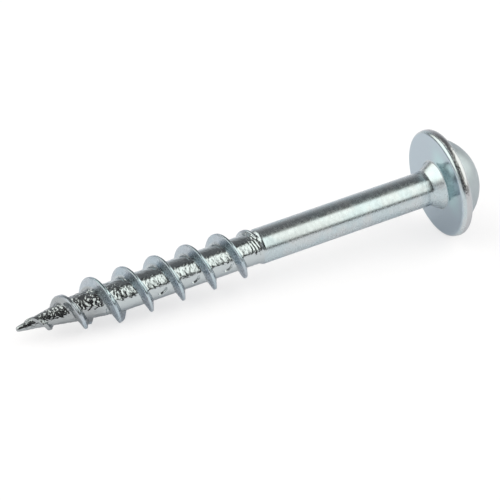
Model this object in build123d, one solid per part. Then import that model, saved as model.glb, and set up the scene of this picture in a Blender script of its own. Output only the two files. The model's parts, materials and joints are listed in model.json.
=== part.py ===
"""Pocket hole screw: washer head with a square recess, plain shank, coarse right-hand thread, cut point.

Everything is in millimetres. The screw is drawn upright about +Z, with the washer's seating face at z = 0,
the head above it and the point below. It is then laid on its side as it comes to rest on a table: on the
rim of the washer and on the crest of the thread.
"""
import math
import os

from build123d import *

os.makedirs("parts", exist_ok=True)

# Washer and dome of the head
washer_diameter = 9.27
washer_thickness = 1.05
washer_seat_chamfer = 0.25
washer_top_round = 0.45
washer_ledge = 0.815
dome_height = 2.55

# Square drive recess, sunk from the crown of the dome
recess_width = 2.84
recess_corner = 0.22
recess_depth = 2.45
recess_draft_deg = 1.5
recess_mouth_diameter = 3.40
recess_mouth_deg = 90.0
recess_floor_deg = 118.0

# Neck under the washer, plain shank and the shoulder down to the rolled root
neck_diameter = 4.20
neck_length = 0.97
shank_diameter = 2.97
shank_length = 15.80
shoulder_length = 0.55
root_diameter = 2.66

# Length under the head and the shape of the point
length_under_head = 38.10
root_taper_length = 9.10
point_length = 5.10
point_diameter = 2.10
nose_diameter = 0.26

# Thread: one start, right-handed, sunk a little into the core along its whole length
thread_diameter = 4.26
thread_pitch = 2.822
thread_crest_width = 0.20
thread_flank_deg = 22.0
thread_start_deg = 167.3
thread_bury = 0.16
run_out_length = 3.30
run_out_fade = 1.70
lead_in_length = 6.60
lead_in_fade = 1.25
thread_to_nose = 0.60

# How finely the thread's curves are drawn
pieces_per_turn = 2
points_per_piece = 10

# Cutting flute: a notch that a sharp-edged wheel leaves across the first threads
wheel_diameter = 38.0
wheel_edge_deg = 90.0
flute_core_radius = 0.30
flute_to_nose = 1.10
flute_side_deg = -16.0


def dome_radius():
    """Radius of the dome where it meets the washer, a ledge's width inside the rim."""
    return washer_diameter / 2 - washer_ledge


def dome_sphere_radius():
    """Radius of the sphere that the dome is a cap of."""
    return (dome_radius() ** 2 + dome_height**2) / (2 * dome_height)


def core_outline():
    """Distance below the seat and radius at each corner of the core, from the shank's end to the nose."""
    return [
        (shank_length, shank_diameter / 2),
        (shank_length + shoulder_length, root_diameter / 2),
        (length_under_head - root_taper_length, root_diameter / 2),
        (length_under_head - point_length, point_diameter / 2),
        (length_under_head, nose_diameter / 2),
    ]


def core_radius(depth):
    """Radius of the core at a distance below the seat, with the thread left out."""
    outline = core_outline()
    radius = outline[0][1]
    for (depth_a, radius_a), (depth_b, radius_b) in zip(outline, outline[1:]):
        if depth > depth_a:
            share = min((depth - depth_a) / (depth_b - depth_a), 1.0)
            radius = radius_a + (radius_b - radius_a) * share
    return radius


def thread_ends():
    """Distances below the seat at which the thread sinks into the shank and into the point."""
    return shank_length + shoulder_length / 4, length_under_head - thread_to_nose


def crest_radius(depth):
    """Radius of the thread's crest: it leads in from the point, runs full and fades out at the shank."""
    upper, lower = thread_ends()
    fades = [
        (upper, (depth - upper) / run_out_length, run_out_fade),
        (lower, (lower - depth) / lead_in_length, lead_in_fade),
    ]
    radius = thread_diameter / 2
    for end, share, fade in fades:
        sunk = core_radius(end) - thread_bury / 4
        drop = (1 - min(share, 1.0)) ** fade
        radius -= (thread_diameter / 2 - sunk) * drop
    return radius


def thread_section(depth):
    """The four corners of the thread's section, in the plane of the axis, at a distance below the seat."""
    angle = math.radians(thread_start_deg) - 2 * math.pi * depth / thread_pitch
    inner = max(core_radius(depth) - thread_bury, nose_diameter / 8)
    outer = crest_radius(depth)
    half_crest = thread_crest_width / 2
    half_base = half_crest + (outer - inner) * math.tan(math.radians(thread_flank_deg))
    corners = [(inner, half_base), (outer, half_crest), (outer, -half_crest), (inner, -half_base)]
    return [Vector(r * math.cos(angle), r * math.sin(angle), rise - depth) for r, rise in corners]


def rail(corner, depths):
    """The curve that one corner of the thread's section follows, with its true direction at both ends."""
    step = depths[1] - depths[0]
    nudge = step / 1000
    tangents = []
    for depth in (depths[0], depths[-1]):
        ahead, behind = thread_section(depth + nudge)[corner], thread_section(depth - nudge)[corner]
        tangents.append((ahead - behind) * (step / (2 * nudge)))
    points = [thread_section(depth)[corner] for depth in depths]
    parameters = [float(index) for index in range(len(depths))]
    return Edge.make_spline(points, tangents, parameters=parameters, scale=False)


def thread():
    """The ridge of the thread: ruled faces between four winding rails, and a flat face at each end."""
    upper, lower = thread_ends()
    pieces = math.ceil((lower - upper) / thread_pitch * pieces_per_turn)
    step = (lower - upper) / (pieces * points_per_piece)
    faces = []
    for piece in range(pieces):
        start = upper + piece * points_per_piece * step
        depths = [start + index * step for index in range(points_per_piece + 1)]
        rails = [rail(corner, depths) for corner in range(4)]
        faces += [Face.make_surface_from_curves(a, b) for a, b in zip(rails, rails[1:] + rails[:1])]
    for depth in (upper, lower):
        faces.append(Face(Wire.make_polygon(thread_section(depth))))
    return Solid(Shell(faces))


def core():
    """The headed blank, turned about +Z: head, neck, shank, shoulder, root and point."""
    crown = washer_thickness + dome_height
    seat_corner = (washer_diameter / 2, 0)
    rim_corner = (washer_diameter / 2, washer_thickness)
    dome_corner = (dome_radius(), washer_thickness)
    with BuildPart() as blank:
        with BuildSketch(Plane.XZ) as half:
            with BuildLine():
                Polyline(
                    (0, crown),
                    (0, -length_under_head),
                    *[(radius, -depth) for depth, radius in reversed(core_outline())],
                    (shank_diameter / 2, -neck_length),
                    (neck_diameter / 2, 0),
                    seat_corner,
                    rim_corner,
                    dome_corner,
                )
                RadiusArc(dome_corner, (0, crown), -dome_sphere_radius())
            make_face()
            chamfer(half.vertices().sort_by_distance(seat_corner)[0], washer_seat_chamfer)
            fillet(half.vertices().sort_by_distance(rim_corner)[0], washer_top_round)
        revolve(axis=Axis.Z)
    return blank.part


def flute():
    """The wheel that cuts the notch, set so that its edge runs along the point and leaves at the thread."""
    radius = wheel_diameter / 2
    half_width = radius * math.tan(math.radians(wheel_edge_deg / 2))
    with BuildPart() as wheel:
        with BuildSketch(Plane.XY):
            Polygon((0, -half_width), (radius, 0), (0, half_width), align=None)
        revolve(axis=Axis.Y)
    centre = (flute_core_radius + radius, 0, flute_to_nose - length_under_head)
    return Rot(0, 0, flute_side_deg) * Pos(*centre) * wheel.part


def recess():
    """The square drive recess: a tapered square with a conical floor and a cone at its mouth."""
    crown = washer_thickness + dome_height
    sphere = dome_sphere_radius()
    mouth = recess_mouth_diameter / 2
    mouth_drop = sphere - math.sqrt(sphere**2 - mouth**2)
    flare = math.tan(math.radians(recess_mouth_deg / 2))
    cone_height = mouth / flare + mouth_drop
    floor = recess_width / 2 - recess_depth * math.tan(math.radians(recess_draft_deg))
    floor_height = floor / math.tan(math.radians(recess_floor_deg / 2))
    with BuildPart() as cutter:
        with BuildSketch(Plane.XY.offset(crown)):
            RectangleRounded(recess_width, recess_width, recess_corner)
        extrude(amount=-recess_depth, taper=recess_draft_deg)
        with Locations((0, 0, crown - recess_depth - floor_height)):
            Cone(0, floor, floor_height, align=(Align.CENTER, Align.CENTER, Align.MIN))
        with Locations((0, 0, crown - mouth_drop - mouth / flare)):
            Cone(0, cone_height * flare, cone_height, align=(Align.CENTER, Align.CENTER, Align.MIN))
    return cutter.part


def rest_tilt():
    """How far the axis dips towards the point, in degrees, when rim and thread lie on the table."""
    upper, lower = thread_ends()
    first = thread_start_deg / 360 * thread_pitch
    turns = range(math.ceil((lower - first) / thread_pitch) + 1)
    lowest = [first + turn * thread_pitch for turn in turns]
    rises = [
        (washer_diameter / 2 - crest_radius(depth)) / (depth + washer_seat_chamfer)
        for depth in lowest
        if upper < depth < lower
    ]
    return math.degrees(math.atan(min(rises)))


def lying(upright):
    """The screw laid on its side with the head towards +X, standing on z = 0 and centred on the origin."""
    laid = Rot(0, 90 - rest_tilt(), 0) * upright
    box = laid.bounding_box()
    return Pos(-box.center().X, -box.center().Y, -box.min.Z) * laid


screw = lying(core() + thread() - flute() - recess())
export_step(screw, "parts/screw.step")
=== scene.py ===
"""The looks of a pocket hole screw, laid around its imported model.

The screw is shaped here in millimetres in its own upright frame: z = 0 is the washer's seating face, the
head is above it and the point below, and depth is the distance below that face. Angles run about the axis
from the side that faces the floor. The finished mesh is then laid along the model's own axis, in metres.
"""
import json
import math

import bmesh
import bpy
import numpy as np
from mathutils import Matrix, Vector, noise


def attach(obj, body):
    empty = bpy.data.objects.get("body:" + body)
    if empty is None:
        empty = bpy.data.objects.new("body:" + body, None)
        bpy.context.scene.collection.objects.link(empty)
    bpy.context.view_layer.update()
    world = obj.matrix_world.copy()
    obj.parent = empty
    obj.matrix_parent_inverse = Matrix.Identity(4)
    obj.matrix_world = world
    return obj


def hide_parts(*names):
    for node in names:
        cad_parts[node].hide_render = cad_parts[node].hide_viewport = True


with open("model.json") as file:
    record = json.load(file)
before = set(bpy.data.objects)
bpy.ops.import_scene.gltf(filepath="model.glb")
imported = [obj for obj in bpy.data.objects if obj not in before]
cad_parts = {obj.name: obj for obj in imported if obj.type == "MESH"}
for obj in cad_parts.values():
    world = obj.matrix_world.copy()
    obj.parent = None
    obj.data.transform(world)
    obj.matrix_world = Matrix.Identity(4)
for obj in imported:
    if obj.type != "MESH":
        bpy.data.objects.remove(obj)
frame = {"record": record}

MM = 0.001

# Washer and dome of the head
WASHER_RADIUS = 4.634
WASHER_THICKNESS = 1.05
SEAT_EDGE_HEIGHT = 0.29
SEAT_EDGE_WIDTH = 0.27
SEAT_EDGE_FLATNESS = 1.30
SIDE_DRAFT = 0.04
RIM_ROUND = 0.50
DOME_RADIUS = 3.82
DOME_HEIGHT = 2.55
DOME_FILLET = 0.12
DOME_INNER_RADIUS = 2.05

# Square drive recess, its edges eased at the foot and at the mouth
RECESS_WIDTH = 2.84
RECESS_CORNER = 0.22
RECESS_DEPTH = 2.45
RECESS_DRAFT = math.radians(1.5)
RECESS_MOUTH_RADIUS = 1.70
RECESS_EDGE = 0.06
RECESS_FLOOR = math.radians(118)
FOOT_IN, FOOT_UP, FOOT_WALL = 0.03, 0.01, 0.06
FOOT_CORNER_SHARE = 0.3
MOUTH_IN, MOUTH_OUT = 0.012, 0.02

# Neck, plain shank and rolled core
NECK_RADIUS = 2.10
NECK_LENGTH = 0.97
NECK_FILLET = 0.26
NECK_END_OUT, NECK_END_UP, NECK_END_DOWN = 0.03, 0.045, 0.03
SHANK_RADIUS = 1.485
SHANK_LENGTH = 16.68
SHOULDER_LENGTH = 0.30
SHOULDER_BLEND = 0.15
LIP_HEIGHT = 0.014
LIP_PLACE = 16.66
LIP_WIDTH = 0.13
ROOT_RADIUS = 1.33
LENGTH = 38.09
ROOT_TAPER_LENGTH = 9.10
POINT_LENGTH = 5.10
POINT_RADIUS = 1.05
CORE_BLEND = 0.8

# Nose: where its rings start above the end, then each ring's share of the radius and height above the end
NOSE_RADIUS = 0.19
NOSE_LENGTH = 0.22
NOSE_RINGS = ((0.98, 0.09), (0.82, 0.04), (0.5, 0.01))

# Thread
PITCH = 2.822
CREST_RADIUS = 2.13
CREST_HALF = 0.10
POINT_CREST_HALF = 0.17
POINT_CREST_FROM, POINT_CREST_FULL = 31.0, 35.0
FLANK = math.radians(22)
THREAD_START = math.radians(167.3)
THREAD_SUNK = 0.04
RUN_OUT_START = 16.55
RUN_OUT_LENGTH = 3.30
RUN_OUT_FADE = 3.10
RUN_OUT_DRIFT = 0.26
DRIFT_FULL, DRIFT_GONE = 17.3, 18.9
LEAD_IN_LENGTH = 6.60
LEAD_IN_FADE = 1.32
THREAD_TO_NOSE = 0.60
CREST_BLEND = 0.09
ROOT_BLEND = 0.10

# Cutting wheel that leaves the notch of the auger point, and the turn of it that is drawn, in degrees
WHEEL_RADIUS = 19.0
WHEEL_DEPTH = 4.0
WHEEL_HALF_WIDTH = 2.4
WHEEL_FROM, WHEEL_SWEEP = -12, 38
WHEEL_STEPS, WHEEL_STRIPS = 190, 20
FLUTE_CORE_RADIUS = 0.30
FLUTE_TO_NOSE = 1.10
FLUTE_SIDE = math.radians(-16)
FLUTE_ROUGHNESS = 0.035
FLUTE_GRAIN = 0.30

# Ends of two turns behind the notch, which the wheel has pushed towards the head
PUSHES = {10: 0.48, 11: 0.46}
PUSH_FROM, PUSH_FULL, PUSH_FADES, PUSH_GONE = (math.radians(a) for a in (-34, -8, 12, 74))
PUSH_HALF_WIDTH = 0.6

# Wrinkles that rolling leaves on the core: height by depth, and the size of one across the axis
WRINKLE_HEIGHTS = ((16.8, 0.0), (17.1, 0.009), (28.6, 0.011), (31.0, 0.040), (33.0, 0.033), (38.1, 0.015))
WRINKLE_SIZE = 0.32
WRINKLE_STRETCH = 1.6
WRINKLE_LARGE, WRINKLE_SMALL = 1.4, 0.7
WRINKLE_FINER = 2.3
WRINKLE_FINER_SHIFT = Vector((7, 3, 5))
WRINKLE_ON_RIDGE = 0.25
ON_CORE_WITHIN = 0.08

# Ripples beside the shoulder, where the rolling dies started to bite
RIPPLE_HEIGHT = 0.020
RIPPLE_STEP = 0.31
RIPPLE_FROM, RIPPLE_TO = 16.90, 18.15
RIPPLE_RISE, RIPPLE_FALL = 0.2, 0.8
RIPPLE_WAVER = 0.55
RIPPLE_WAVER_ALONG = 0.4
RIPPLE_WAVER_FINENESS = 1.5

# Short slanting folds in the core, one a turn on the same side
FOLD_DEPTH = 0.17
FOLD_HALF_WIDTH = 0.11
FOLD_HALF_LENGTH = 0.44
FOLD_CURVE = 0.6
FOLD_SIDE = math.radians(-81)
FOLD_SLANT = math.radians(32)
FOLD_PLACES = [19.97 + 2.94 * turn for turn in range(3)]

# The last stretch is bent a little away from the floor, and its nose back again
BEND = 0.15
BEND_FROM, BEND_FULL = 29.0, 33.5
BEND_BACK = 0.06
BACK_FROM, BACK_FULL = 35.8, 38.1
BEND_SIDE = math.radians(143.9)

# Fineness of the mesh, where its threaded part starts and ends, and the angle that still counts as smooth
COLUMNS = 160
THREAD_TOP = 15.70
THREAD_FOOT = 37.60
THREAD_END_MARGIN = 0.01
SMOOTH_UP_TO = math.radians(32)

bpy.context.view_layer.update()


def arc(centre, radius, start, end, steps):
    """(radius, height) points on an arc, angles in degrees from outwards, anticlockwise."""
    turns = [math.radians(start + (end - start) * step / steps) for step in range(steps + 1)]
    return [(centre[0] + radius * math.cos(t), centre[1] + radius * math.sin(t)) for t in turns]


def line(start, end, steps):
    """(radius, height) points from start to end, without the first."""
    return [
        (start[0] + (end[0] - start[0]) * step / steps, start[1] + (end[1] - start[1]) * step / steps)
        for step in range(1, steps + 1)
    ]


def dome_sphere():
    """Radius of the dome's sphere and height of its centre."""
    radius = (DOME_RADIUS**2 + DOME_HEIGHT**2) / (2 * DOME_HEIGHT)
    return radius, WASHER_THICKNESS + DOME_HEIGHT - radius


def dome_point(radius):
    """(radius, height) of the point on the dome at a distance from the axis."""
    sphere, centre = dome_sphere()
    return radius, centre + math.sqrt(sphere**2 - radius**2)


def head_profile():
    """(radius, height) from the recess's mouth over the dome, washer and neck, and down the shank."""
    sphere, centre = dome_sphere()
    fillet_height = WASHER_THICKNESS + DOME_FILLET
    fillet_radius = math.sqrt((sphere + DOME_FILLET) ** 2 - (fillet_height - centre) ** 2)
    touch = math.degrees(math.atan2(fillet_height - centre, fillet_radius))
    inner_height = dome_point(DOME_INNER_RADIUS)[1]
    start = math.degrees(math.atan2(inner_height - centre, DOME_INNER_RADIUS))
    points = arc((0, centre), sphere, start, touch, steps=26)
    points += arc((fillet_radius, fillet_height), DOME_FILLET, 180 + touch, 270, steps=8)[1:]
    rim_centre = (WASHER_RADIUS - RIM_ROUND, WASHER_THICKNESS - RIM_ROUND)
    if fillet_radius < rim_centre[0]:
        points += line(points[-1], (rim_centre[0], WASHER_THICKNESS), steps=1)
    points += arc(rim_centre, RIM_ROUND, 90, 0, steps=14)[1:]
    seat_edge = WASHER_RADIUS - SIDE_DRAFT
    points += line(points[-1], (seat_edge, SEAT_EDGE_HEIGHT), steps=4)
    for out, up in arc((0, 0), 1, 0, 90, steps=12)[1:]:
        across = seat_edge - SEAT_EDGE_WIDTH * (1 - max(out, 0) ** SEAT_EDGE_FLATNESS)
        points.append((across, SEAT_EDGE_HEIGHT * (1 - up**SEAT_EDGE_FLATNESS)))
    slope = math.atan2(NECK_LENGTH, NECK_RADIUS - SHANK_RADIUS)
    foot = NECK_RADIUS + NECK_FILLET / math.tan((math.pi - slope) / 2)
    points += line(points[-1], (foot, 0), steps=12)
    points += arc((foot, -NECK_FILLET), NECK_FILLET, 90, 90 + math.degrees(slope), steps=5)[1:]
    points += line(points[-1], (SHANK_RADIUS + NECK_END_OUT, -NECK_LENGTH + NECK_END_UP), steps=5)
    points += line(points[-1], (SHANK_RADIUS, -NECK_LENGTH - NECK_END_DOWN), steps=2)
    points += line(points[-1], (SHANK_RADIUS, -THREAD_TOP), steps=36)
    return points


def square_radius(angle, half, corner):
    """Distance from the axis to a square with rounded corners, in the direction angle."""
    turn = abs((angle + math.pi / 4) % (math.pi / 2) - math.pi / 4)
    flat = half / math.cos(turn)
    side = half - corner
    if flat * math.sin(turn) <= side:
        return flat
    along = side * (math.cos(turn) + math.sin(turn))
    across = side * (math.cos(turn) - math.sin(turn))
    return along + math.sqrt(max(corner**2 - across**2, 0))


def recess_floor():
    """Half the recess's width at its foot, the foot's height, and how far the conical floor drops below."""
    foot = RECESS_WIDTH / 2 - RECESS_DEPTH * math.tan(RECESS_DRAFT)
    height = WASHER_THICKNESS + DOME_HEIGHT - RECESS_DEPTH
    return foot, height, foot / math.tan(RECESS_FLOOR / 2)


def recess_rings():
    """Rings of (radius, height) per column, from the centre of the recess's floor up to its mouth."""
    angles = [2 * math.pi * column / COLUMNS for column in range(COLUMNS)]
    foot, floor, drop = recess_floor()
    rings = []
    for share in (0.15, 0.4, 0.7, 0.95):
        rings.append([(foot * share, floor - drop * (1 - share))] * COLUMNS)
    low = [square_radius(a, foot, RECESS_CORNER) for a in angles]
    rings.append([(min(r, foot) + FOOT_CORNER_SHARE * max(r - foot, 0), floor) for r in low])
    rings.append([(r - FOOT_IN, floor + FOOT_UP) for r in low])
    rings.append([(r, floor + FOOT_WALL) for r in low])
    mouth_low, mouth_edge, mouth_out = [], [], []
    for a in angles:
        wall = square_radius(a, RECESS_WIDTH / 2, RECESS_CORNER)
        edge = max(wall + RECESS_EDGE, RECESS_MOUTH_RADIUS)
        top = dome_point(edge)[1]
        mouth_low.append((wall, top - (edge - wall)))
        mouth_edge.append((edge - MOUTH_IN, top - MOUTH_IN))
        mouth_out.append(dome_point(edge + MOUTH_OUT))
    for share in (0.3, 0.6, 0.85):
        rings.append([
            (r + (mouth[0] - r) * share, floor + (mouth[1] - floor) * share)
            for r, mouth in zip(low, mouth_low)
        ])
    return rings + [mouth_low, mouth_edge, mouth_out]


def smooth_max(a, b, blend):
    """The larger of a and b, with the corner where they cross rounded over blend."""
    gap = np.clip((a - b) / blend, -1, 1)
    return np.maximum(a, b) + blend / 4 * (1 - np.abs(gap)) ** 2


def smooth_step(value, start, end):
    """0 before start, 1 after end and eased between them; start may be the larger of the two."""
    share = np.clip((value - start) / (end - start), 0, 1)
    return share * share * (3 - 2 * share)


def core_radius(depth):
    """Radius of the core without its thread: corners eased, and a low lip where the shank ends."""
    corners = [
        (SHANK_LENGTH, SHANK_RADIUS),
        (SHANK_LENGTH + SHOULDER_LENGTH, ROOT_RADIUS),
        (LENGTH - ROOT_TAPER_LENGTH, ROOT_RADIUS),
        (LENGTH - POINT_LENGTH, POINT_RADIUS),
        (LENGTH, NOSE_RADIUS),
    ]
    eases = [SHOULDER_BLEND, SHOULDER_BLEND, CORE_BLEND, CORE_BLEND]
    slopes = [0.0] + [(b[1] - a[1]) / (b[0] - a[0]) for a, b in zip(corners, corners[1:])]
    radius = np.full_like(depth, SHANK_RADIUS)
    for (place, _), ease, before, after in zip(corners, eases, slopes, slopes[1:]):
        radius = radius + (after - before) * smooth_max(depth - place, np.zeros_like(depth), ease)
    return radius + LIP_HEIGHT * np.exp(-(((depth - LIP_PLACE) / LIP_WIDTH) ** 2))


def core_radius_at(depth):
    """The core's radius at a single depth."""
    return core_radius(np.array([depth]))[0]


def crest_radius(depth):
    """Radius of the thread's crest: it leads in from the point, runs full and fades out at the shank."""
    upper, lower = RUN_OUT_START, LENGTH - THREAD_TO_NOSE
    radius = np.full_like(depth, CREST_RADIUS)
    for core, share, fade in (
        (ROOT_RADIUS, (depth - upper) / RUN_OUT_LENGTH, RUN_OUT_FADE),
        (core_radius_at(lower), (lower - depth) / LEAD_IN_LENGTH, LEAD_IN_FADE),
    ):
        share = np.clip(share, -0.5, 1)
        radius = radius - (CREST_RADIUS - core + THREAD_SUNK) * (1 - share) ** fade
    return radius


def wrinkle(angle, depth):
    """Height of the rolled wrinkles at a place on the core: large ones with smaller ones among them."""
    height = np.interp(depth, *zip(*WRINKLE_HEIGHTS))
    across = Vector((math.cos(angle), math.sin(angle), 0)) * ROOT_RADIUS
    place = (across + Vector((0, 0, depth * WRINKLE_STRETCH))) / WRINKLE_SIZE
    finer = place * WRINKLE_FINER + WRINKLE_FINER_SHIFT
    return height * (WRINKLE_LARGE * noise.noise(place) + WRINKLE_SMALL * noise.noise(finer))


def ripple(angle, depth):
    """Height of the ripples beside the shoulder."""
    window = smooth_step(depth, RIPPLE_FROM, RIPPLE_FROM + RIPPLE_RISE)
    window *= smooth_step(depth, RIPPLE_TO, RIPPLE_TO - RIPPLE_FALL)
    place = Vector((math.cos(angle), math.sin(angle), depth * RIPPLE_WAVER_ALONG))
    waver = RIPPLE_WAVER * noise.noise(place * RIPPLE_WAVER_FINENESS)
    return RIPPLE_HEIGHT * window * math.sin(2 * math.pi * (depth + waver) / RIPPLE_STEP)


def fold(angle, depth):
    """Depth of the slanting folds at a place on the core."""
    deepest = 0.0
    around = ROOT_RADIUS * ((angle - FOLD_SIDE + math.pi) % (2 * math.pi) - math.pi)
    for place in FOLD_PLACES:
        below = depth - place
        along = below * math.cos(FOLD_SLANT) + around * math.sin(FOLD_SLANT)
        across = around * math.cos(FOLD_SLANT) - below * math.sin(FOLD_SLANT) + FOLD_CURVE * along**2
        if abs(along) < FOLD_HALF_LENGTH and abs(across) < FOLD_HALF_WIDTH:
            shape = (1 - (along / FOLD_HALF_LENGTH) ** 6) * (1 - (across / FOLD_HALF_WIDTH) ** 2)
            deepest = max(deepest, FOLD_DEPTH * shape)
    return deepest


def body_radius(angle, depth, crest_depth, from_crest):
    """Radius of the threaded body at a depth, from_crest below a crest whose own depth is crest_depth."""
    widening = smooth_step(crest_depth, POINT_CREST_FROM, POINT_CREST_FULL)
    half = CREST_HALF + (POINT_CREST_HALF - CREST_HALF) * widening
    fall = smooth_max((np.abs(from_crest) - half) / math.tan(FLANK), np.zeros_like(depth), CREST_BLEND)
    core = core_radius(depth)
    body = smooth_max(core, crest_radius(crest_depth) - fall, ROOT_BLEND)
    on_core = np.exp(-(((body - core) / ON_CORE_WITHIN) ** 2))
    texture = np.array([wrinkle(angle, d) + ripple(angle, d) for d in depth])
    folds = np.array([fold(angle, d) for d in depth])
    return body + texture * (WRINKLE_ON_RIDGE + (1 - WRINKLE_ON_RIDGE) * on_core) - folds * on_core


def push(crest_depth, from_crest):
    """How far the ridge is off its even pitch, towards the head: most just behind the notch, the other way
    where it runs out, and nothing midway between turns."""
    unwound = THREAD_START - 2 * math.pi * crest_depth / PITCH
    pushed = -RUN_OUT_DRIFT * smooth_step(crest_depth, DRIFT_GONE, DRIFT_FULL)
    for turn, most in PUSHES.items():
        angle = unwound + 2 * math.pi * turn
        pushed += most * smooth_step(angle, PUSH_FROM, PUSH_FULL) * smooth_step(angle, PUSH_GONE, PUSH_FADES)
    return pushed * smooth_step(np.abs(from_crest), PITCH / 2, PUSH_HALF_WIDTH)


def crest_offsets():
    """Distances from the crest at which lines run along the thread, close together where it bends."""
    near = [0, 0.04, 0.07, 0.09, 0.11, 0.14, 0.19, 0.25, 0.31, 0.36, 0.40, 0.44, 0.49, 0.56]
    far = list(np.linspace(near[-1], PITCH / 2, 14)[1:-1])
    side = near[1:] + far
    return sorted([-d for d in side] + [0] + side + [PITCH / 2])


class Skin:
    """Collects the screw's vertices and faces in its own frame."""

    def __init__(self):
        self.points = []
        self.faces = []

    def point(self, angle, radius, height):
        """Adds a point and returns its number."""
        self.points.append((radius * math.cos(angle), radius * math.sin(angle), height))
        return len(self.points) - 1

    def ring(self, radii_heights):
        """Adds one point in each column and returns their numbers."""
        return [
            self.point(2 * math.pi * column / COLUMNS, radius, height)
            for column, (radius, height) in enumerate(radii_heights)
        ]

    def band(self, upper, lower):
        """Joins two rings with faces."""
        for column in range(COLUMNS):
            after = (column + 1) % COLUMNS
            self.faces.append((upper[column], lower[column], lower[after], upper[after]))

    def cap(self, ring, height, above):
        """Closes a ring with a fan about a point on the axis; above says that the fan is seen from above."""
        centre = len(self.points)
        self.points.append((0, 0, height))
        for column in range(COLUMNS):
            after = (column + 1) % COLUMNS
            pair = (ring[column], ring[after]) if above else (ring[after], ring[column])
            self.faces.append((*pair, centre))


def thread_column(skin, column, offsets):
    """The points of one column of the threaded body, keyed by the line along the thread that each is on."""
    angle = 2 * math.pi * column / COLUMNS
    base = PITCH * (THREAD_START - angle) / (2 * math.pi)
    first = math.floor((THREAD_TOP - base) / PITCH) - 1
    last = math.ceil((THREAD_FOOT - base) / PITCH) + 1
    labels, crests, gaps = [], [], []
    for turn in range(first, last + 1):
        crest = base + turn * PITCH
        for index, offset in enumerate(offsets):
            if THREAD_TOP + THREAD_END_MARGIN < crest + offset < THREAD_FOOT - THREAD_END_MARGIN:
                labels.append(turn * len(offsets) + index)
                crests.append(crest)
                gaps.append(offset)
    crests, gaps = np.array(crests), np.array(gaps)
    depths = crests + gaps - push(crests, gaps)
    radii = body_radius(angle, depths, crests, gaps)
    return {label: skin.point(angle, r, -depth) for label, r, depth in zip(labels, radii, depths)}


def thread_skin(skin, top_ring, foot_ring):
    """The threaded body, between the ring where the shank ends and the one where the nose starts."""
    offsets = crest_offsets()
    columns = [thread_column(skin, column, offsets) for column in range(COLUMNS)]
    for column in range(COLUMNS):
        after = (column + 1) % COLUMNS
        left = columns[column]
        shift = len(offsets) if after == 0 else 0
        right = {label + shift: index for label, index in columns[after].items()}
        low, high = max(min(left), min(right)), min(max(left), max(right))
        for label in range(low, high):
            skin.faces.append((left[label], left[label + 1], right[label + 1], right[label]))
        head = [top_ring[column]] + [left[k] for k in range(min(left), low + 1)]
        head += [right[k] for k in range(low, min(right) - 1, -1)] + [top_ring[after]]
        skin.faces.append(tuple(head))
        foot = [foot_ring[after]] + [right[k] for k in range(max(right), high - 1, -1)]
        foot += [left[k] for k in range(high, max(left) + 1)] + [foot_ring[column]]
        skin.faces.append(tuple(foot))


def screw_skin():
    """The whole screw without its notch: recess, head, neck and shank, threaded body and nose."""
    skin = Skin()
    recess = recess_rings()
    outline = head_profile()
    rings = [skin.ring(ring) for ring in recess]
    _, floor, drop = recess_floor()
    skin.cap(rings[0], floor - drop, above=True)
    for share in (0.25, 0.6):
        between = [dome_point(mouth[0] + (outline[0][0] - mouth[0]) * share) for mouth in recess[-1]]
        rings.append(skin.ring(between))
    rings += [skin.ring([point] * COLUMNS) for point in outline]
    for upper, lower in zip(rings, rings[1:]):
        skin.band(upper, lower)
    foot = skin.ring([(core_radius_at(THREAD_FOOT), -THREAD_FOOT)] * COLUMNS)
    thread_skin(skin, rings[-1], foot)
    nose = [(core_radius_at(LENGTH - NOSE_LENGTH), -LENGTH + NOSE_LENGTH)]
    nose += [(NOSE_RADIUS * share, -LENGTH + height) for share, height in NOSE_RINGS]
    previous = foot
    for point in nose:
        ring = skin.ring([point] * COLUMNS)
        skin.band(previous, ring)
        previous = ring
    skin.cap(previous, -LENGTH, above=False)
    return skin


def wheel_mesh():
    """A sector of the wheel whose sharp edge cuts the notch; its flanks are rough, as the cut is."""
    points, faces = [], []
    sides = [share / WHEEL_STRIPS for share in range(-WHEEL_STRIPS, WHEEL_STRIPS + 1)]
    for step in range(WHEEL_STEPS + 1):
        turn = math.radians(WHEEL_FROM + WHEEL_SWEEP * step / WHEEL_STEPS)
        for share in sides:
            radius = WHEEL_RADIUS - abs(share) * WHEEL_DEPTH
            out = FLUTE_CORE_RADIUS + WHEEL_RADIUS - radius * math.cos(turn)
            height = -LENGTH + FLUTE_TO_NOSE + radius * math.sin(turn)
            place = Vector((out, share * WHEEL_HALF_WIDTH, height))
            rough = FLUTE_ROUGHNESS * noise.noise(place / FLUTE_GRAIN)
            points.append(place + Vector((rough, 0, 0)))
    width = len(sides)
    for step in range(WHEEL_STEPS):
        a, b = step * width, (step + 1) * width
        for strip in range(width - 1):
            faces.append((a + strip, a + strip + 1, b + strip + 1, b + strip))
        faces.append((a + width - 1, a, b, b + width - 1))
    faces.append(tuple(range(width)))
    faces.append(tuple(range(WHEEL_STEPS * width, (WHEEL_STEPS + 1) * width)))
    mesh = bpy.data.meshes.new("wheel")
    mesh.from_pydata(points, [], faces)
    mesh.transform(Matrix.Rotation(FLUTE_SIDE, 4, "Z"))
    outward(mesh)
    return mesh


def outward(mesh):
    """Turns all faces outwards."""
    bm = bmesh.new()
    bm.from_mesh(mesh)
    bmesh.ops.recalc_face_normals(bm, faces=bm.faces)
    bm.to_mesh(mesh)
    bm.free()


def placement():
    """From the screw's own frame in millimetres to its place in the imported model."""
    seat = next(m for m in frame["record"]["mounts"] if m["name"] == "seat")
    up = -Vector(seat["axis"])
    side = Vector((0, 1, 0))
    down = side.cross(up)
    turn = Matrix((down, side, up)).transposed().to_4x4()
    return Matrix.Translation(Vector(seat["pos_m"])) @ turn @ Matrix.Scale(MM, 4)


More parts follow.
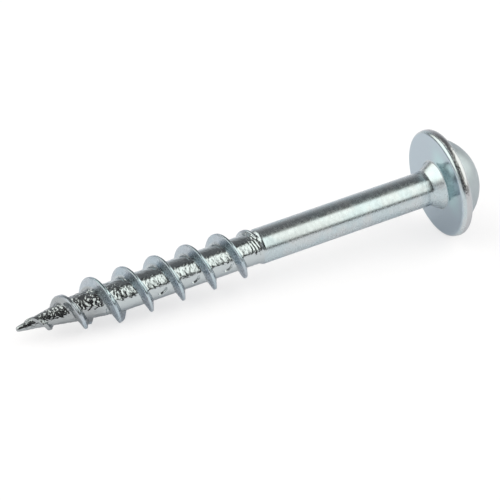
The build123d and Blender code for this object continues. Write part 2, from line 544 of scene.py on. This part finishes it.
def bend(mesh):
    """Bends the last stretch of the screw."""
    aside = Vector((math.cos(BEND_SIDE), math.sin(BEND_SIDE), 0))
    for vertex in mesh.vertices:
        depth = -vertex.co.z
        shift = BEND * smooth_step(depth, BEND_FROM, BEND_FULL)
        shift -= BEND_BACK * smooth_step(depth, BACK_FROM, BACK_FULL)
        vertex.co += aside * float(shift)


def add_object(name, data):
    """A new object in the scene with this mesh, lamp or camera."""
    made = bpy.data.objects.new(name, data)
    bpy.context.scene.collection.objects.link(made)
    return made


def make_screw():
    """The screw's mesh with the notch cut, bent and laid in its place."""
    skin = screw_skin()
    mesh = bpy.data.meshes.new("screw_body")
    mesh.from_pydata(skin.points, [], skin.faces)
    outward(mesh)
    body = add_object("screw_body", mesh)
    cutter = add_object("wheel", wheel_mesh())
    cut = body.modifiers.new("notch", "BOOLEAN")
    cut.operation = "DIFFERENCE"
    cut.solver = "EXACT"
    cut.object = cutter
    bpy.context.view_layer.update()
    final = bpy.data.meshes.new_from_object(body.evaluated_get(bpy.context.evaluated_depsgraph_get()))
    bpy.data.objects.remove(cutter)
    body.modifiers.clear()
    body.data = final
    bend(final)
    final.transform(placement())
    for face in final.polygons:
        face.use_smooth = True
    final.set_sharp_from_angle(angle=SMOOTH_UP_TO)
    return body


class Nodes:
    """The nodes of a material or of the world, with short ways to add them and join them."""

    def __init__(self, owner, keep=False):
        owner.use_nodes = True
        self.nodes = owner.node_tree.nodes
        self.links = owner.node_tree.links
        if not keep:
            self.nodes.clear()

    def feed(self, slot, value):
        """Joins an input to another node's output, or gives it a plain value."""
        if isinstance(value, bpy.types.NodeSocket):
            self.links.new(value, slot)
        else:
            slot.default_value = value

    def add(self, kind, inputs=None, **settings):
        """A new node with these settings, then with these inputs by name or number."""
        node = self.nodes.new(kind)
        for name, value in settings.items():
            setattr(node, name, value)
        for name, value in (inputs or {}).items():
            self.feed(node.inputs[name], value)
        return node

    def math(self, operation, *values):
        """One sum on plain values and other nodes' outputs."""
        return self.add("ShaderNodeMath", dict(enumerate(values)), operation=operation).outputs[0]

    def ramp(self, value, start, end, low=0.0, high=1.0):
        """Eased from low to high while the value goes from start to end."""
        inputs = {"Value": value, "From Min": start, "From Max": end, "To Min": low, "To Max": high}
        return self.add("ShaderNodeMapRange", inputs, interpolation_type="SMOOTHSTEP").outputs[0]

    def mix(self, share, first, second):
        """A colour between the two; each is a colour's three values or another node's output."""
        inputs = {"Factor": share}
        for name, value in (("A", first), ("B", second)):
            inputs[name] = (*value, 1) if isinstance(value, tuple) else value
        return self.add("ShaderNodeMix", inputs, data_type="RGBA").outputs["Result"]

    def axes(self, vector):
        """The outputs X, Y and Z of a vector."""
        return self.add("ShaderNodeSeparateXYZ", {0: vector}).outputs


# Zinc plating: the colour of each zone of the screw, with painted shade on the seat and a painted reflection
# by the neck
ZINC_COLOURS = ((0.465, 0.538, 0.565), (0.505, 0.545, 0.560))
ROLLED_COLOURS = ((0.410, 0.480, 0.530), (0.450, 0.495, 0.535))
CORE_COLOUR = (0.475, 0.520, 0.535)
POINT_COLOUR = (0.345, 0.368, 0.378)
# Painted shade: the seat is darkened to stand in for the shadow under the head that it mirrors
SEAT_SHADED_COLOUR = (0.425, 0.495, 0.548)
# Painted reflection: a brighter blue-green patch on the seat beside the neck stands in for the neck mirrored
# there
PAINTED_REFLECTION_COLOUR = (0.455, 0.630, 0.645)
RIM_COLOUR = (0.470, 0.480, 0.495)
DOME_COLOUR = (0.395, 0.438, 0.460)
GLANCING_TINT = (0.80, 0.82, 0.84, 1)
CLOUD_PER_MM = 0.6
CLOUD_FROM, CLOUD_TO = 0.38, 0.62

# Its roughness on the plain and on the rolled parts, and how much rougher a zone is
PLAIN_ROUGHNESS = (0.22, 0.30)
ROLLED_ROUGHNESS = (0.08, 0.18)
DOME_ROUGHER, SEAT_ROUGHER, RIM_ROUGHER = 0.16, -0.10, -0.06
PATCH_PER_MM = 2.2
PATCH_FROM, PATCH_TO = 0.35, 0.65

# Heights or distances from the axis between which a zone fades in or out
ROLLED_FROM, ROLLED_TO = -16.6, -16.9
POINT_FROM, POINT_TO = -29.8, -32.0
FLANK_FROM, FLANK_TO = 1.40, 1.62
RIM_FROM, RIM_TO = 4.40, 4.62
SEAT_FROM, SEAT_TO = 0.02, 0.12
DOME_FROM, DOME_TO = 0.90, 1.50
ZONE_FADE = 0.1

# The faint painted reflection of the neck on the seat: its side of the neck, how it fades around that side
# and how it fades outwards
REFLECTION_SIDE = math.radians(-126)
REFLECTION_TOWARDS = (0.30, 0.95)
REFLECTION_RADII = (4.5, 2.6)

# Fine grain all over, and the coarser crinkle of the rolled core and of the rim, with heights in metres
GRAIN_PER_MM = 9.0
GRAIN_HEIGHT = 0.0000022
CRINKLE_PER_MM = 5.0
CRINKLE_HEIGHT = 0.000019
POINT_CRINKLE = 0.35
RIM_CRINKLE = 1.4


class Zinc(Nodes):
    """Builds the bright zinc plating, with its grain fixed to the screw's own frame."""

    def __init__(self):
        self.material = bpy.data.materials.new("zinc")
        super().__init__(self.material, keep=True)
        self.shader = self.nodes["Principled BSDF"]
        self.shader.inputs["Metallic"].default_value = 1.0
        self.shader.inputs["Specular Tint"].default_value = GLANCING_TINT
        self.place = self.screw_place()
        stretch = {0: self.place, 1: (1, 1, WRINKLE_STRETCH)}
        self.stretched = self.add("ShaderNodeVectorMath", stretch, operation="MULTIPLY").outputs["Vector"]
        self.zones()
        self.colour()
        self.roughness()
        self.relief()

    def screw_place(self):
        """Where a point is in the screw's own frame, in millimetres."""
        where, turn, size = placement().decompose()
        inputs = {
            "Vector": self.add("ShaderNodeTexCoord").outputs["Object"],
            "Location": where,
            "Rotation": turn.to_euler(),
            "Scale": size,
        }
        return self.add("ShaderNodeMapping", inputs, vector_type="TEXTURE").outputs[0]

    def grain(self, vector, per_mm, detail):
        """Noise with so many grains to a millimetre."""
        inputs = {"Vector": vector, "Scale": per_mm, "Detail": detail}
        return self.add("ShaderNodeTexNoise", inputs).outputs["Fac"]

    def zones(self):
        """Shares from 0 to 1: the rolled stretch, its core, its point, the rim, the seat, the painted
        reflection of the neck on the seat, and the dome."""
        axes = self.axes(self.place)
        radius = self.math("SQRT", self.math("ADD", *(self.math("POWER", axes[a], 2.0) for a in "XY")))
        self.rolled = self.ramp(axes["Z"], ROLLED_FROM, ROLLED_TO)
        self.rolled_core = self.math("MULTIPLY", self.rolled, self.ramp(radius, FLANK_TO, FLANK_FROM))
        self.point = self.ramp(axes["Z"], POINT_FROM, POINT_TO)
        side = self.ramp(axes["Z"], SEAT_EDGE_HEIGHT, SEAT_EDGE_HEIGHT + ZONE_FADE)
        self.rim = self.math("MULTIPLY", side, self.ramp(radius, RIM_FROM, RIM_TO))
        flat = self.ramp(axes["Z"], SEAT_TO, SEAT_FROM)
        self.seat = self.math("MULTIPLY", flat, self.ramp(radius, NECK_RADIUS, NECK_RADIUS + ZONE_FADE))
        # Where the painted reflection of the neck lies on the seat
        across = self.math("MULTIPLY", axes["X"], math.cos(REFLECTION_SIDE))
        along = self.math("MULTIPLY", axes["Y"], math.sin(REFLECTION_SIDE))
        towards = self.ramp(self.math("DIVIDE", self.math("ADD", across, along), radius), *REFLECTION_TOWARDS)
        near = self.math("MULTIPLY", towards, self.ramp(radius, *REFLECTION_RADII))
        self.painted_reflection = self.math("MULTIPLY", self.seat, near)
        self.dome = self.ramp(axes["Z"], DOME_FROM, DOME_TO)

    def colour(self):
        """Slightly clouded all over, with a colour of its own in each zone; the seat's is darkened as
        painted shade, and a painted reflection of the neck lies on the seat.
        """
        cloud = self.ramp(self.grain(self.place, CLOUD_PER_MM, detail=2), CLOUD_FROM, CLOUD_TO)
        shade = self.mix(self.rolled, self.mix(cloud, *ZINC_COLOURS), self.mix(cloud, *ROLLED_COLOURS))
        for zone, colour in (
            (self.rolled_core, CORE_COLOUR),
            (self.math("MULTIPLY", self.point, self.rolled_core), POINT_COLOUR),
            # the seat's colour is darkened as painted shade
            (self.seat, SEAT_SHADED_COLOUR),
            # a painted reflection of the neck on the seat
            (self.painted_reflection, PAINTED_REFLECTION_COLOUR),
            (self.dome, DOME_COLOUR),
            (self.rim, RIM_COLOUR),
        ):
            shade = self.mix(zone, shade, colour)
        self.links.new(shade, self.shader.inputs["Base Color"])

    def roughness(self):
        """Patchy, smoothest on the rolled core."""
        patches = self.grain(self.stretched, PATCH_PER_MM, detail=4)
        plain = self.ramp(patches, PATCH_FROM, PATCH_TO, *PLAIN_ROUGHNESS)
        rolled = self.ramp(patches, PATCH_FROM, PATCH_TO, *ROLLED_ROUGHNESS)
        change = self.math("MULTIPLY", self.math("SUBTRACT", rolled, plain), self.rolled_core)
        total = self.math("ADD", plain, change)
        for zone, rougher in (
            (self.dome, DOME_ROUGHER),
            (self.seat, SEAT_ROUGHER),
            (self.rim, RIM_ROUGHER),
        ):
            total = self.math("ADD", total, self.math("MULTIPLY", zone, rougher))
        self.links.new(total, self.shader.inputs["Roughness"])

    def relief(self):
        """The fine grain, and the crinkle where the metal was rolled or squeezed out at the rim."""
        fine = self.math("MULTIPLY", self.grain(self.place, GRAIN_PER_MM, detail=2), GRAIN_HEIGHT)
        crinkle = self.grain(self.stretched, CRINKLE_PER_MM, detail=3)
        coarse = self.math("MULTIPLY", crinkle, CRINKLE_HEIGHT)
        on_core = self.math("MULTIPLY", self.rolled_core, self.ramp(self.point, 0, 1, 1.0, POINT_CRINKLE))
        where = self.math("ADD", on_core, self.math("MULTIPLY", self.rim, RIM_CRINKLE))
        height = self.math("ADD", fine, self.math("MULTIPLY", coarse, where))
        bump = self.add("ShaderNodeBump", {"Distance": 1.0, "Height": height})
        self.links.new(bump.outputs[0], self.shader.inputs["Normal"])


# Floor: its colours, and the lit share of its white, which can be in shadow, to the camera and in metal
FLOOR_RADIUS = 3.0
FLOOR_COLOUR = (0.70, 0.71, 0.73)
FLOOR_WHITE = 1.0
FLOOR_LIT_COLOUR = (0.985, 0.962, 1.0)
LIT_TO_CAMERA = 0.34
LIT_IN_METAL = 0.85

# Panels: how far off they are, the degrees over which their edges fade, and their colour
PANEL_DISTANCE = 0.60
PANEL_FADE = 15.0
PANEL_COLOUR = (0.99, 1.0, 0.935)
PANEL_COLUMNS, PANEL_ROWS = 24, 12

# Room: brightness by elevation behind the screw and at its other sides, and where these fade by X or Y
BACK_WALL = ((0, 1.25), (10, 0.86), (24, 0.58), (34, 0.42), (44, 0.28), (54, 0.19), (64, 0.17), (80, 0.26))
BACK_BLUE = 1.02
LEFT_OF_WALL = 0.60
WALL_FADES = (-0.5, 0.25)
FRONT_ROOM = 0.05
LEFT_OF_FRONT = 0.95
FRONT_FADES = (-0.68, -0.36)
BEHIND_FADES = (-0.2, 0.35)

# Overhead lamp: directions are an azimuth and an elevation in degrees
FILL_SIZE = 1.2
FILL_POWER = 4.4
FILL_FROM = (150, 60)
FILL_DISTANCE = 0.75

# Camera: the way it looks is an azimuth and a dip in degrees
CAMERA_AIM = Vector((2.30, 4.53, -0.03)) * MM
CAMERA_DISTANCE = 234.71 * MM
CAMERA_AZIMUTH = 27.20
CAMERA_ELEVATION = 31.48
CAMERA_LENS = 203.11
CAMERA_SENSOR = 36
CAMERA_CLIP = (0.01, 20)


def direction(azimuth, elevation):
    """Unit vector; azimuth in degrees from +Y towards +X, elevation in degrees."""
    a, e = math.radians(azimuth), math.radians(elevation)
    return Vector((math.sin(a) * math.cos(e), math.cos(a) * math.cos(e), math.sin(e)))


def make_floor():
    """White to the camera and in the metal. The light that bounces meets a plain grey floor."""
    mesh = bpy.data.meshes.new("floor")
    r = FLOOR_RADIUS
    mesh.from_pydata([(-r, -r, 0), (r, -r, 0), (r, r, 0), (-r, r, 0)], [], [(0, 1, 2, 3)])
    floor = add_object("floor", mesh)
    material = bpy.data.materials.new("floor")
    tree = Nodes(material)
    path = tree.add("ShaderNodeLightPath").outputs
    levels = {"Value": path["Is Camera Ray"], "To Min": LIT_IN_METAL, "To Max": LIT_TO_CAMERA}
    lit = tree.add("ShaderNodeMapRange", levels).outputs[0]
    white = tree.add("ShaderNodeEmission", {"Strength": FLOOR_WHITE}).outputs[0]
    shaded = tree.add("ShaderNodeBsdfDiffuse", {"Color": (*FLOOR_LIT_COLOUR, 1)}).outputs[0]
    shown = tree.add("ShaderNodeMixShader", {0: lit, 1: white, 2: shaded}).outputs[0]
    plain = tree.add("ShaderNodeBsdfDiffuse", {"Color": (*FLOOR_COLOUR, 1)}).outputs[0]
    rays = path["Is Camera Ray"]
    for name in ("Is Glossy Ray", "Is Transmission Ray"):
        rays = tree.math("MAXIMUM", rays, path[name])
    surface = tree.add("ShaderNodeMixShader", {0: rays, 1: plain, 2: shown}).outputs[0]
    tree.add("ShaderNodeOutputMaterial", {"Surface": surface})
    mesh.materials.append(material)


def panel_mesh(name, west, east, low, high, rise):
    """A grid curved around the screw, with each corner's share of the way across and up as its UV."""
    points, spots, faces = [], [], []
    for row in range(PANEL_ROWS + 1):
        for column in range(PANEL_COLUMNS + 1):
            across, up = column / PANEL_COLUMNS, row / PANEL_ROWS
            azimuth = west + (east - west) * across
            elevation = low + (high - low) * up + rise * (across - 0.5)
            points.append(direction(azimuth, elevation) * PANEL_DISTANCE)
            spots.append((across, up))
    for row in range(PANEL_ROWS):
        for column in range(PANEL_COLUMNS):
            corner = row * (PANEL_COLUMNS + 1) + column
            above = corner + PANEL_COLUMNS + 1
            faces.append((corner, corner + 1, above + 1, above))
    mesh = bpy.data.meshes.new(name)
    mesh.from_pydata(points, [], faces)
    layer = mesh.uv_layers.new(name="spot")
    for loop in mesh.loops:
        layer.data[loop.index].uv = spots[loop.vertex_index]
    return mesh


def make_panel(name, west, east, low, high, rise, strength):
    """A glowing panel curved around the screw and fading at its edges, between two azimuths and two
    elevations in degrees, its east end higher by rise. The metal mirrors it; the camera doesn't see it."""
    mesh = panel_mesh(name, west, east, low, high, rise)
    panel = add_object(name, mesh)
    panel.visible_camera = False
    material = bpy.data.materials.new(name)
    tree = Nodes(material)
    axes = tree.axes(tree.add("ShaderNodeTexCoord").outputs["UV"])
    fades = []
    for axis, width in (("X", east - west), ("Y", high - low)):
        from_middle = tree.math("ABSOLUTE", tree.math("SUBTRACT", axes[axis], 0.5))
        fades.append(tree.ramp(from_middle, 0.5, 0.5 - PANEL_FADE / width))
    level = tree.math("MULTIPLY", tree.math("MULTIPLY", *fades), strength)
    glow = tree.add("ShaderNodeEmission", {"Color": (*PANEL_COLOUR, 1), "Strength": level}).outputs[0]
    tree.add("ShaderNodeOutputMaterial", {"Surface": glow})
    mesh.materials.append(material)


def make_world():
    """A room that is brightest at the horizon behind the screw and darkest behind the camera."""
    world = bpy.data.worlds.new("studio")
    bpy.context.scene.world = world
    tree = Nodes(world)
    axes = tree.axes(tree.add("ShaderNodeTexCoord").outputs["Generated"])
    back = tree.add("ShaderNodeValToRGB", {0: axes["Z"]})
    ramp = back.color_ramp
    ramp.elements.remove(ramp.elements[0])
    for elevation, level in BACK_WALL:
        spot = ramp.elements.new(math.sin(math.radians(elevation)))
        spot.color = (level, level, level * BACK_BLUE, 1)
    ramp.elements.remove(ramp.elements[-1])
    wall_level = tree.ramp(axes["X"], *WALL_FADES, LEFT_OF_WALL, 1.0)
    front = tree.ramp(axes["X"], *FRONT_FADES, LEFT_OF_FRONT, FRONT_ROOM)
    scaled = {0: back.outputs[0], "Scale": wall_level}
    wall = tree.add("ShaderNodeVectorMath", scaled, operation="SCALE").outputs["Vector"]
    colour = tree.mix(tree.ramp(axes["Y"], *BEHIND_FADES), front, wall)
    room = tree.add("ShaderNodeBackground", {"Color": colour}).outputs[0]
    tree.add("ShaderNodeOutputWorld", {"Surface": room})


def make_fill():
    """A wide soft lamp overhead lights the floor and isn't mirrored in the metal."""
    lamp = bpy.data.lights.new("overhead", "AREA")
    lamp.shape = "DISK"
    lamp.size = FILL_SIZE
    lamp.energy = FILL_POWER
    fill = add_object("overhead", lamp)
    fill.location = direction(*FILL_FROM) * FILL_DISTANCE
    fill.rotation_mode = "QUATERNION"
    fill.rotation_quaternion = direction(*FILL_FROM).to_track_quat("Z", "Y")
    fill.visible_glossy = False
    fill.visible_camera = False


def make_camera():
    """A long lens that looks down on the screw from its point's side."""
    data =bpy.data.cameras.new("camera")
    data.lens = CAMERA_LENS
    data.sensor_width = CAMERA_SENSOR
    data.clip_start, data.clip_end = CAMERA_CLIP
    camera = add_object("camera", data)
    ahead = direction(CAMERA_AZIMUTH, -CAMERA_ELEVATION)
    camera.location = CAMERA_AIM - ahead * CAMERA_DISTANCE
    camera.rotation_mode = "QUATERNION"
    camera.rotation_quaternion = ahead.to_track_quat("-Z", "Y")
    bpy.context.scene.camera = camera


screw = make_screw()
screw.data.materials.clear()
screw.data.materials.append(Zinc().material)
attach(screw, "root")
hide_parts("screw")

make_floor()
make_panel("panel_right", west=60, east=172, low=0, high=74.5, rise=18, strength=1.94)
make_panel("panel_left", west=-136, east=-6, low=14, high=80, rise=0, strength=2.00)
make_world()
make_fill()
make_camera()
bpy.context.scene.view_settings.view_transform = "Standard"
